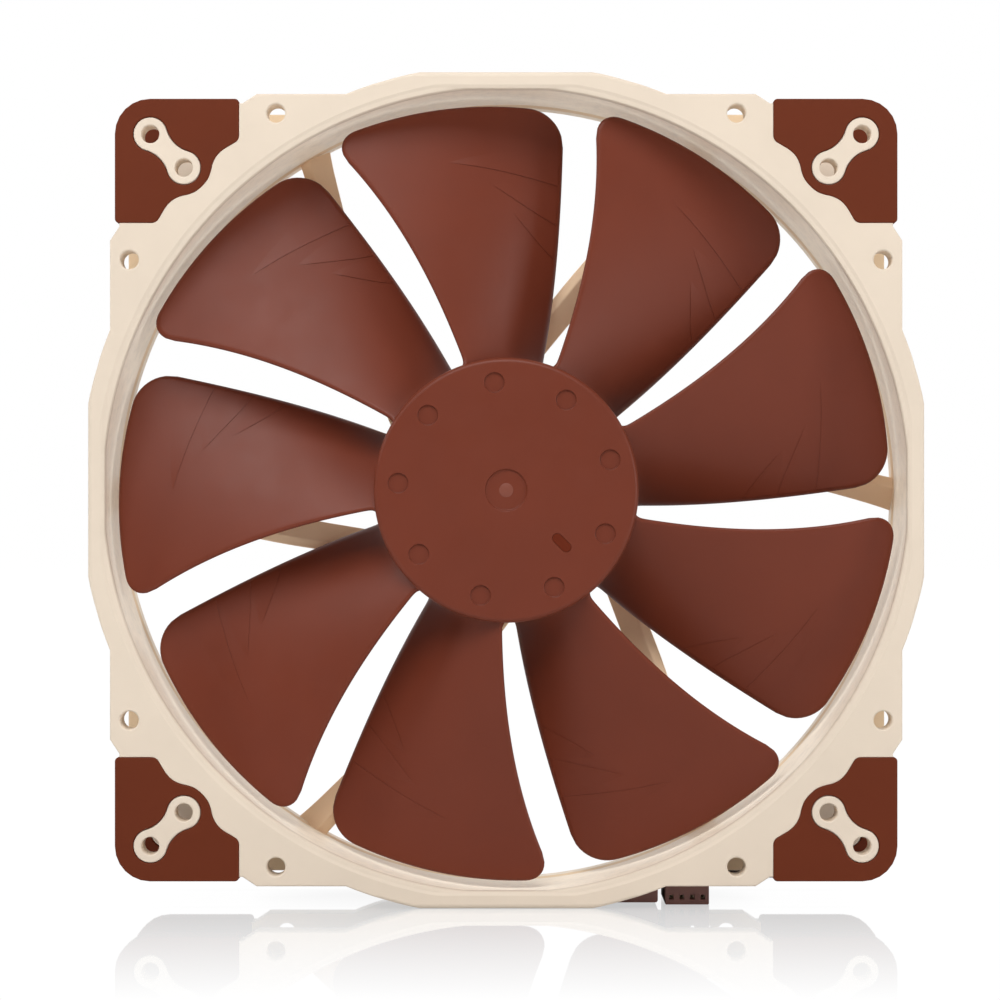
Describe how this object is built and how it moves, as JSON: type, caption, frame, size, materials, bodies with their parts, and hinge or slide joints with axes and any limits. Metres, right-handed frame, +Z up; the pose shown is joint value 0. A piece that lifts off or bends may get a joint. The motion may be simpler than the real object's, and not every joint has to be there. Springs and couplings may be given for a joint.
{
  "type": "case fan",
  "caption": "Axial computer case fan: square-cornered ring frame with soft corner pads, a wide-bladed impeller on a hub motor, struts behind it, and a short sleeved lead with a plug.",
  "frame": {"origin": "middle of the footprint, at the bottom of the ring", "axes": "+Z up, +Y along the airflow from intake face to outlet face, +X to the right seen from the intake side"},
  "size_m": [0.2, 0.0777, 0.2],
  "materials": {
    "frame_plastic": "fine moulded grain",
    "impeller_plastic": "satin moulded",
    "pad_rubber": "matt",
    "brass": "turned",
    "steel": "ground",
    "yoke_steel": "plated",
    "core_steel": "stamped laminations",
    "magnet": "bonded ferrite",
    "bearing_polymer": "machined",
    "dark_plastic": "moulded",
    "copper": "enamelled winding",
    "board": "solder mask",
    "ceramic_chip": "fired",
    "label": "plain printed film",
    "wire_insulation": "smooth",
    "lead_sleeve": "braided",
    "shrink_tube": "shrunk",
    "connector_plastic": "satin moulded",
    "contact_metal": "tinned"
  },
  "bodies": {
    "frame": {"bearing_end_cap": "dark_plastic", "bearing_shell": "brass", "bearing_sleeve": "bearing_polymer", "board_capacitors": "ceramic_chip", "cable_grommet": "connector_plastic", "circuit_board": "board", "connector_contacts": "contact_metal", "connector_housing": "connector_plastic", "driver_chip": "dark_plastic", "frame": "frame_plastic", "hall_sensor": "dark_plastic", "insulator_front": "dark_plastic", "insulator_rear": "dark_plastic", "lead": "lead_sleeve", "lead_heatshrink": "shrink_tube", "motor_wires": "wire_insulation", "oil_seal": "bearing_polymer", "pad_front_bottom_left": "pad_rubber", "pad_front_bottom_right": "pad_rubber", "pad_front_top_left": "pad_rubber", "pad_front_top_right": "pad_rubber", "pad_rear_bottom_left": "pad_rubber", "pad_rear_bottom_right": "pad_rubber", "pad_rear_top_left": "pad_rubber", "pad_rear_top_right": "pad_rubber", "rear_label": "label", "stator_coils": "copper", "stator_core": "core_steel"},
    "rotor": {"impeller": "impeller_plastic", "shaft_bush": "brass", "shaft": "steel", "retaining_clip": "steel", "rotor_yoke": "yoke_steel", "magnet_ring": "magnet", "thrust_magnet": "magnet"}
  },
  "joints": [
    {"name": "impeller_spin", "type": "hinge", "parent": "frame", "child": "rotor", "pos_m": [0, 0, 0.1], "axis": [0, 1, 0], "continuous": true}
  ]
}
